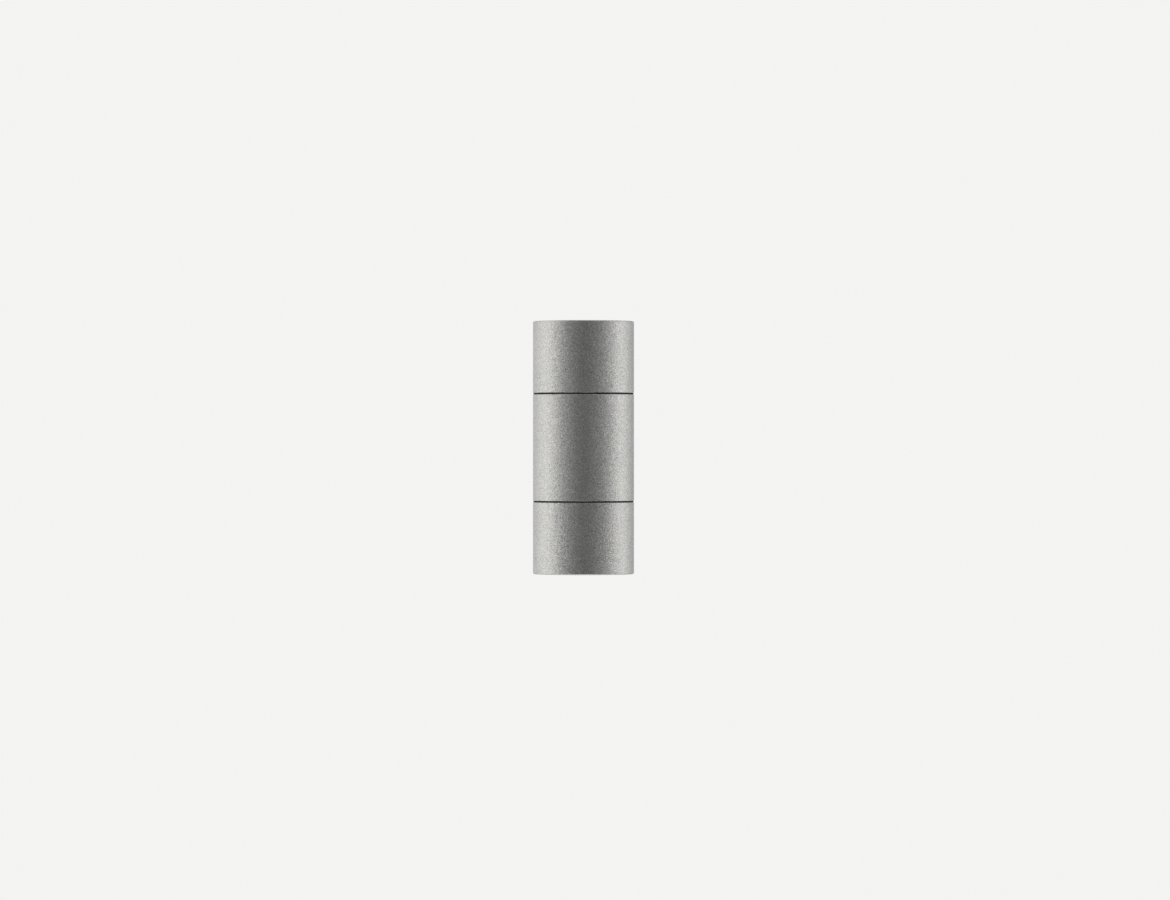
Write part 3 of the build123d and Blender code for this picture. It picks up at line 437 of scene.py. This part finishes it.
def add_piece(name, data, body, slot_name, finish, *replaced):
    """Puts a piece in the scene with its finish, the body it moves with and the nodes it stands for."""
    data.materials.append(finish)
    made = bpy.data.objects.new(name, data)
    bpy.context.scene.collection.objects.link(made)
    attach(made, body)
    if replaced:
        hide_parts(*replaced)


def mesh_of(form, name, end, hollow=()):
    """Turns a form drawn about the lamp's axis, upper end up, into a mesh at one end of the tube."""
    bmesh.ops.transform(form, matrix=TO_AXIS @ ENDS[end], verts=form.verts)
    bmesh.ops.recalc_face_normals(form, faces=form.faces)
    bmesh.ops.reverse_faces(form, faces=hollow)
    mesh = bpy.data.meshes.new(name)
    form.to_mesh(mesh)
    form.free()
    smooth = [polygon.use_smooth for polygon in mesh.polygons]
    mesh.set_sharp_from_angle(angle=SHARP_ANGLE)
    mesh.polygons.foreach_set("use_smooth", smooth)
    return mesh


def ring_of(form, radius, z, count, turn=0.0):
    """Vertices on a level circle."""
    angles = [2 * math.pi * (i + turn) / count for i in range(count)]
    return [form.verts.new((radius * math.cos(a), radius * math.sin(a), z)) for a in angles]


def squared_ring(form, z, half_width, half_depth, power):
    """Vertices on a level oval, squarer with a higher power."""
    made = []
    for i in range(BULB_COLUMNS):
        c, s = math.cos(2 * math.pi * i / BULB_COLUMNS), math.sin(2 * math.pi * i / BULB_COLUMNS)
        x = half_width * math.copysign(abs(c) ** (2 / power), c)
        y = half_depth * math.copysign(abs(s) ** (2 / power), s)
        made.append(form.verts.new((x, y, z)))
    return made


def round_ring(form, z, radius):
    return squared_ring(form, z, radius, radius, 2.0)


def bridge(form, first, second):
    """Smooth quads between two rings of as many vertices."""
    made = []
    for i in range(len(first)):
        j = (i + 1) % len(first)
        made.append(form.faces.new((first[i], first[j], second[j], second[i])))
        made[-1].smooth = True
    return made


def closed_stack(form, rings, bottom_z, top_z):
    """Skins a stack of rings, closed at both ends with a point."""
    made = []
    for first, second in zip(rings, rings[1:]):
        made += bridge(form, first, second)
    for ring, z in ((rings[0], bottom_z), (rings[-1], top_z)):
        tip = form.verts.new((0, 0, z))
        for a, b in zip(ring, ring[1:] + ring[:1]):
            made.append(form.faces.new((a, b, tip)))
            made[-1].smooth = True
    return made


def bowl_z(radius):
    """Height of the lamp's bowl at that radius."""
    return VERTEX_Z + (COVER_SEAT_Z - VERTEX_Z) * (radius / MOUTH_RADIUS) ** 2


def make_reflector(end):
    """The lamp's bowl, with its mirror cut into rows of diamond facets."""
    form = bmesh.new()
    rim_foot_z = LAMP_FRONT_Z - LAMP_RIM_HEIGHT
    drop = bowl_z(LAMP_BACK_RADIUS) - rim_foot_z
    steps = [NECK_RADIUS + (LAMP_BACK_RADIUS - NECK_RADIUS) * i / BACK_STEPS for i in range(BACK_STEPS + 1)]
    outline = [(BURNER_HOLE_RADIUS, NECK_FLOOR_Z), (NECK_RADIUS, NECK_FLOOR_Z)]
    outline += [(r, bowl_z(r) - drop) for r in steps]
    outline += [
        (LAMP_RADIUS, rim_foot_z),
        (LAMP_RADIUS, LAMP_FRONT_Z),
        (RIM_BORE_RADIUS, LAMP_FRONT_Z),
        (RIM_BORE_RADIUS, COVER_SEAT_Z),
        (MOUTH_RADIUS, COVER_SEAT_Z),
    ]
    count = FACET_COLUMNS
    rings = [ring_of(form, r, z, 2 * count) for r, z in outline]
    for first, second in zip(rings, rings[1:]):
        bridge(form, first, second)
    hole, mouth = rings[0], rings[-1]

    # Each row of vertices is turned by half a facet from the row above, and a facet spans two rows
    rows = [mouth[::2]]
    for row in range(1, FACET_ROWS + 1):
        radius = MOUTH_RADIUS * (BURNER_HOLE_RADIUS / MOUTH_RADIUS) ** (row / FACET_ROWS)
        rows.append(ring_of(form, radius, bowl_z(radius), count, 0.5 * (row % 2)))
    for row in range(FACET_ROWS - 1):
        for i in range(count):
            left = (i - 1) % count if row % 2 == 0 else i
            right = (left + 1) % count
            form.faces.new((rows[row][i], rows[row + 1][right], rows[row + 2][i], rows[row + 1][left]))
    foot = rows[-1]
    for i in range(count):
        j = (i + 1) % count
        form.faces.new((mouth[2 * i], mouth[2 * i + 1], rows[1][i]))
        form.faces.new((mouth[2 * i + 1], mouth[2 * j], rows[1][i]))
        form.faces.new((foot[i], foot[j], rows[-2][i]))
        form.faces.new((foot[i], hole[2 * i], hole[2 * i + 1]))
        form.faces.new((foot[i], hole[2 * i + 1], foot[j]))
        form.faces.new((foot[j], hole[2 * i + 1], hole[2 * j]))
    name = f"{end}_faceted_reflector"
    slot_name = "faceted_reflector"
    mesh = mesh_of(form, name, end)
    add_piece(name, mesh, f"{end}_lamp_unit", slot_name, MATERIALS[slot_name], f"{end}_lamp_reflector")


def make_capsule(end):
    """The quartz burner: a hollow bulb on a flattened pinch."""
    form = bmesh.new()
    dome_z = BURNER_TIP_Z - BURNER_RADIUS
    outside = [squared_ring(form, *section) for section in PINCH_SECTIONS]
    outside.append(round_ring(form, BULB_START_Z, BURNER_RADIUS))
    outside.append(round_ring(form, dome_z, BURNER_RADIUS))
    inner = BURNER_RADIUS - QUARTZ_WALL
    inside = [round_ring(form, z, share * inner) for z, share in HOLLOW_FOOT]
    inside.append(round_ring(form, dome_z, inner))
    for step in range(1, DOME_STEPS):
        angle = math.pi / 2 * step / DOME_STEPS
        for rings, radius in ((outside, BURNER_RADIUS), (inside, inner)):
            rings.append(round_ring(form, dome_z + radius * math.sin(angle), radius * math.cos(angle)))
    closed_stack(form, outside, NECK_FLOOR_Z, BURNER_TIP_Z)
    hollow = closed_stack(form, inside, HOLLOW_FOOT[0][0] - HOLLOW_TIP, dome_z + inner)
    name = f"{end}_capsule"
    mesh = mesh_of(form, name, end, hollow)
    add_piece(name, mesh, f"{end}_lamp_unit", "quartz", MATERIALS["quartz"], f"{end}_lamp_burner")


def make_filament(end):
    """The coiled wire, on a hoop that stands up from the pinch."""
    half = HOOP_HALF_WIDTH
    leg = HOOP_TOP_Z - half - HOOP_FOOT_Z
    length = 2 * leg + math.pi * half
    count = COIL_STEPS * round(length / COIL_PITCH)
    points = [(-half, 0, PINCH_TOP_Z)]
    for i in range(count + 1):
        along, around = length * i / count, 2 * math.pi * i / COIL_STEPS
        turn = min(max((along - leg) / half, 0.0), math.pi)
        rise = min(along, leg, length - along)
        out, up = -math.cos(turn), math.sin(turn)
        reach = half + COIL_RADIUS * math.cos(around)
        points.append((out * reach, COIL_RADIUS * math.sin(around), HOOP_FOOT_Z + rise + up * reach))
    points.append((half, 0, PINCH_TOP_Z))
    name = f"{end}_filament"
    wire = line_of(name, points, WIRE_RADIUS, WIRE_ROUNDNESS, "POLY")
    wire.transform(ENDS[end])
    wire.transform(TO_AXIS)
    add_piece(name, wire, f"{end}_lamp_unit", "nickel", lit_wire())


def line_of(name, points, radius, roundness, kind):
    """A round wire along the points."""
    wire = bpy.data.curves.new(name, "CURVE")
    wire.dimensions = "3D"
    wire.bevel_depth = radius
    wire.bevel_resolution = roundness
    wire.use_fill_caps = True
    spline = wire.splines.new(kind)
    spline.points.add(len(points) - 1)
    for point, spot in zip(spline.points, points):
        point.co = (*spot, 1.0)
    if kind == "NURBS":
        spline.order_u = 3
        spline.use_endpoint_u = True
        wire.resolution_u = LEAD_STEPS
    return wire


def make_lead(name, slot_name, points):
    """One insulated lead; its points are millimetres about the tube's centre."""
    metres = [[c / 1000 for c in point] for point in points]
    wire = line_of(name, metres, LEAD_RADIUS, LEAD_ROUNDNESS, "NURBS")
    wire.transform(TO_AXIS)
    add_piece(f"{name}_wire", wire, "housing", slot_name, MATERIALS[slot_name], name)


def make_leads():
    """Live and neutral from both holders, and earth, through the bush and down to the terminals."""
    for kind, slot_name, side in (("live", "brown_insulation", -1), ("neutral", "blue_insulation", 1)):
        upper = (
            (5.0, 8.0, 4.6), (5.0, 17.8, 4.8), (1.84, 18.4, 14.84), (1.84, 40.2, 14.84),
            (9.85, 40.2, 6.0), (9.85, 40.2, 2.0), (9.85, 40.2, -3.0),
        )
        lower = (
            (5.0, 8.0, -4.6), (5.5, 17.8, -4.8), (8.2, 20.49, 3.5), (1.84, 21.0, 11.16),
            (1.84, 36.0, 11.16), (4.2, 40.2, 7.6), (8.15, 40.2, 2.6), (8.15, 40.2, -3.0),
        )
        make_lead(f"upper_{kind}_lead", slot_name, [(side * x, y, z) for x, y, z in upper])
        make_lead(f"lower_{kind}_lead", slot_name, [(side * x, y, z) for x, y, z in lower])
    earth = (
        (0, 21.79, -8.0), (0, 21.79, -3.5), (0, 18.4, 2.0), (0, 18.6, 9.4),
        (0, 22.2, 13.0), (0, 36.0, 13.0), (0, 40.2, 8.8), (0, 40.2, -3.0),
    )
    make_lead("earth_lead", "earth_insulation", earth)


for end in ENDS:
    make_reflector(end)
    make_capsule(end)
    make_filament(end)
make_leads()


# ---- Camera, light and floor -----------------------------------------------------------------------------


def make_camera():
    """A level camera in front of the light, as far away as the photograph's perspective asks."""
    data = bpy.data.cameras.new("camera")
    data.sensor_width = SENSOR_WIDTH
    data.lens = SENSOR_WIDTH * CAMERA_DISTANCE / FRAME_WIDTH
    data.clip_start, data.clip_end = CAMERA_CLIP
    camera = bpy.data.objects.new("camera", data)
    camera.location = (CAMERA_X, AXIS_Y - CAMERA_DISTANCE, CAMERA_Z)
    camera.rotation_euler = (math.pi / 2, 0, 0)
    bpy.context.scene.collection.objects.link(camera)
    bpy.context.scene.camera = camera


# How bright the studio is, by degrees round the object from the camera's side, rightwards
STUDIO = (
    (-180, 0.48), (-150, 0.75), (-120, 0.71), (-100, 1.3), (-80, 1.02), (-60, 0.47),
    (-40, 0.33), (-20, 0.17), (0, 0.125), (20, 0.15), (40, 0.29), (60, 0.32),
    (80, 0.82), (100, 1.24), (120, 0.6), (150, 0.48), (180, 0.48),
)
STUDIO_POLE = 0.42  # straight above and below
POLE_FADE = (0.72, 0.93)  # sines of the heights between which it takes over

BACKDROP = (0.9, 0.9, 0.895, 1.0)
LAMP_SIZE = 1.6
KEY_PLACE, KEY_WATTS = (-1.4, -1.8, 2.4), 34.0
BACK_PLACE, BACK_WATTS = (1.2, 1.8, 2.0), 24.0


def make_world():
    """A pale studio: bright at both sides, dimmer behind the camera, and plain where it is looked at."""
    world = bpy.data.worlds.new("studio")
    bpy.context.scene.world = world
    world.use_nodes = True
    tree = world.node_tree
    tree.nodes.clear()
    sky = tree.nodes.new("ShaderNodeTexCoord").outputs["Generated"]
    direction = node(tree, "ShaderNodeSeparateXYZ", Vector=sky)
    backwards = math_node(tree, "MULTIPLY", direction.outputs["Y"], -1.0)
    turn = math_node(tree, "ARCTAN2", direction.outputs["X"], backwards)
    ramp = node(tree, "ShaderNodeValToRGB", Fac=between(tree, turn, 0.0, 1.0, -math.pi, math.pi))
    ramp.color_ramp.interpolation = "B_SPLINE"
    stops = ramp.color_ramp.elements
    while len(stops) < len(STUDIO):
        stops.new(0.5)
    for stop, (degrees, value) in zip(stops, STUDIO):
        stop.position = 0.5 + degrees / 360
        stop.color = grey(value)
    steepness = math_node(tree, "ABSOLUTE", direction.outputs["Z"])
    to_pole = between(tree, steepness, 0.0, 1.0, *POLE_FADE)
    level = mixed(tree, to_pole, ramp.outputs["Color"], grey(STUDIO_POLE))
    studio = node(tree, "ShaderNodeBackground", Color=level, Strength=1.0)
    plain = node(tree, "ShaderNodeBackground", Color=BACKDROP, Strength=1.0)
    path = tree.nodes.new("ShaderNodeLightPath")
    seen = math_node(tree, "MAXIMUM", path.outputs["Is Camera Ray"], path.outputs["Is Transmission Ray"])
    mix = tree.nodes.new("ShaderNodeMixShader")
    feed(tree, seen, mix.inputs[0])
    feed(tree, studio.outputs["Background"], mix.inputs[1])
    feed(tree, plain.outputs["Background"], mix.inputs[2])
    output = tree.nodes.new("ShaderNodeOutputWorld")
    feed(tree, mix.outputs["Shader"], output.inputs["Surface"])


def make_lamp(name, location, energy):
    """A soft area lamp aimed at the middle of the tube."""
    data = bpy.data.lights.new(name, "AREA")
    data.shape = "DISK"
    data.size = LAMP_SIZE
    data.energy = energy
    lamp = bpy.data.objects.new(name, data)
    lamp.visible_glossy = False
    lamp.location = location
    aim = Vector((0, AXIS_Y, 0)) - Vector(location)
    lamp.rotation_euler = aim.to_track_quat("-Z", "Y").to_euler()
    bpy.context.scene.collection.objects.link(lamp)


def make_floor():
    """A plain pale floor far below, faded out at its edge."""
    mesh = bpy.data.meshes.new("floor")
    form = bmesh.new()
    bmesh.ops.create_circle(form, cap_ends=True, radius=FLOOR_RADIUS, segments=FLOOR_SIDES)
    form.to_mesh(mesh)
    form.free()
    floor = bpy.data.objects.new("floor", mesh)
    floor.location = (0, 0, FLOOR_Z)
    bpy.context.scene.collection.objects.link(floor)
    made, tree, shader = material("floor_paint", (0.92, 0.92, 0.915), 0.0, 0.8)
    distance = vector_math(tree, "LENGTH", place(tree))
    fade = between(tree, distance, 0.0, 1.0, 0.5 * FLOOR_RADIUS, FLOOR_RADIUS)
    clear = tree.nodes.new("ShaderNodeBsdfTransparent")
    mix = tree.nodes.new("ShaderNodeMixShader")
    feed(tree, fade, mix.inputs[0])
    feed(tree, shader.outputs["BSDF"], mix.inputs[1])
    feed(tree, clear.outputs["BSDF"], mix.inputs[2])
    feed(tree, mix.outputs["Shader"], tree.nodes["Material Output"].inputs["Surface"])
    mesh.materials.append(made)


make_camera()
make_world()
make_lamp("key_lamp", KEY_PLACE, KEY_WATTS)
make_lamp("back_lamp", BACK_PLACE, BACK_WATTS)
make_floor()

bpy.context.scene.view_settings.view_transform = "Standard"
